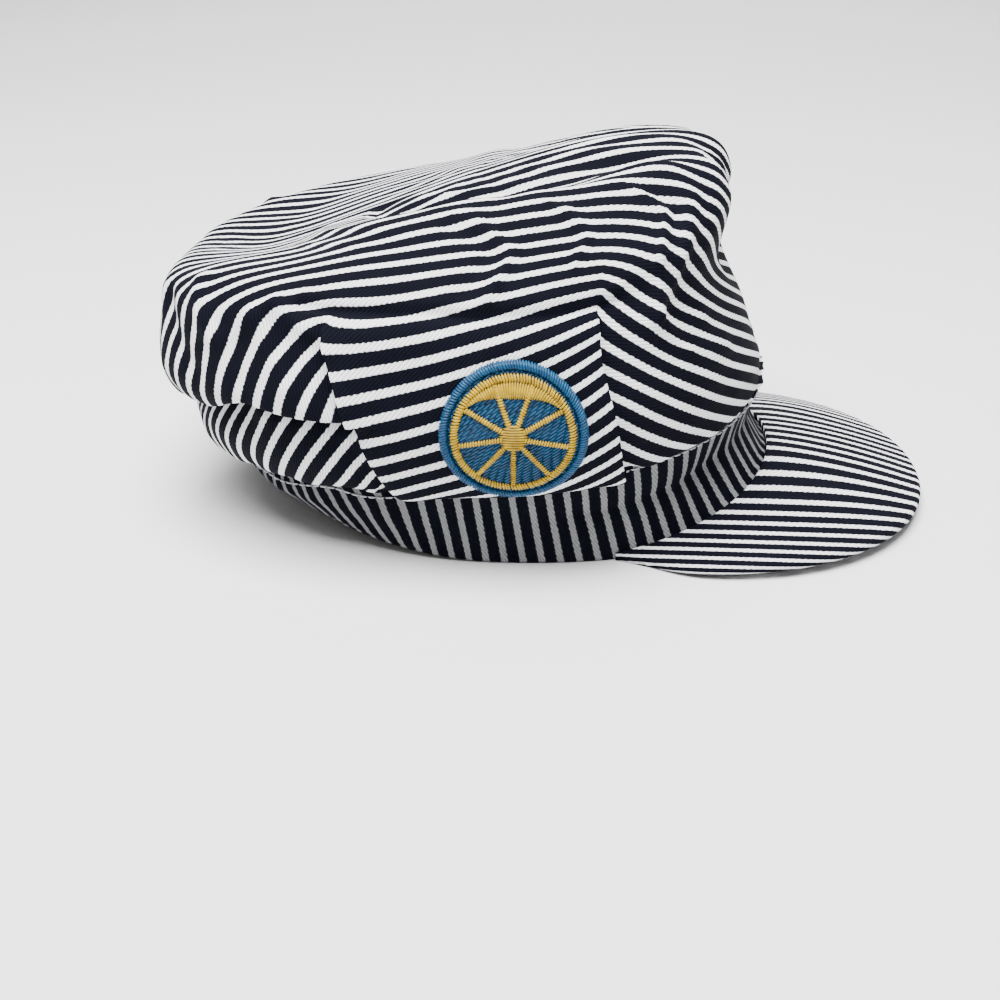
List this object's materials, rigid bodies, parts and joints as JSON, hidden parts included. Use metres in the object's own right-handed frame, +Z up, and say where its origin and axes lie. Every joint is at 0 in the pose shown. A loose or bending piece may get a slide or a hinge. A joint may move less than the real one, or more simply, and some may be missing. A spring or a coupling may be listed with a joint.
{
  "type": "railroad engineer cap",
  "caption": "Soft striped cloth work cap with a pleated, folded crown on a sewn head band, a stiff curved visor and a round embroidered badge.",
  "frame": {"origin": "middle of the cap's outside box, on the surface it rests on", "axes": "+X the way the visor points, +Y to the side without the badge, +Z up"},
  "size_m": [0.27, 0.189, 0.1262],
  "materials": {
    "striped_twill": "navy and white striped cotton twill, matt",
    "band_twill": "the same striped twill with its stripes upright, matt",
    "visor_twill": "striped twill over a stiffener, with a dark wrapped edge",
    "dark_lining": "dark plain cotton twill",
    "blue_thread": "blue embroidery thread with a soft sheen",
    "border_thread": "teal blue overlocked border thread with a soft sheen",
    "yellow_thread": "golden yellow satin stitch with a soft sheen"
  },
  "bodies": {
    "root": {"crown": "striped_twill", "band": "band_twill", "sweatband": "dark_lining", "visor": "visor_twill", "badge_ground": "blue_thread", "badge_border": "border_thread", "badge_wheel": "yellow_thread"}
  },
  "joints": []
}
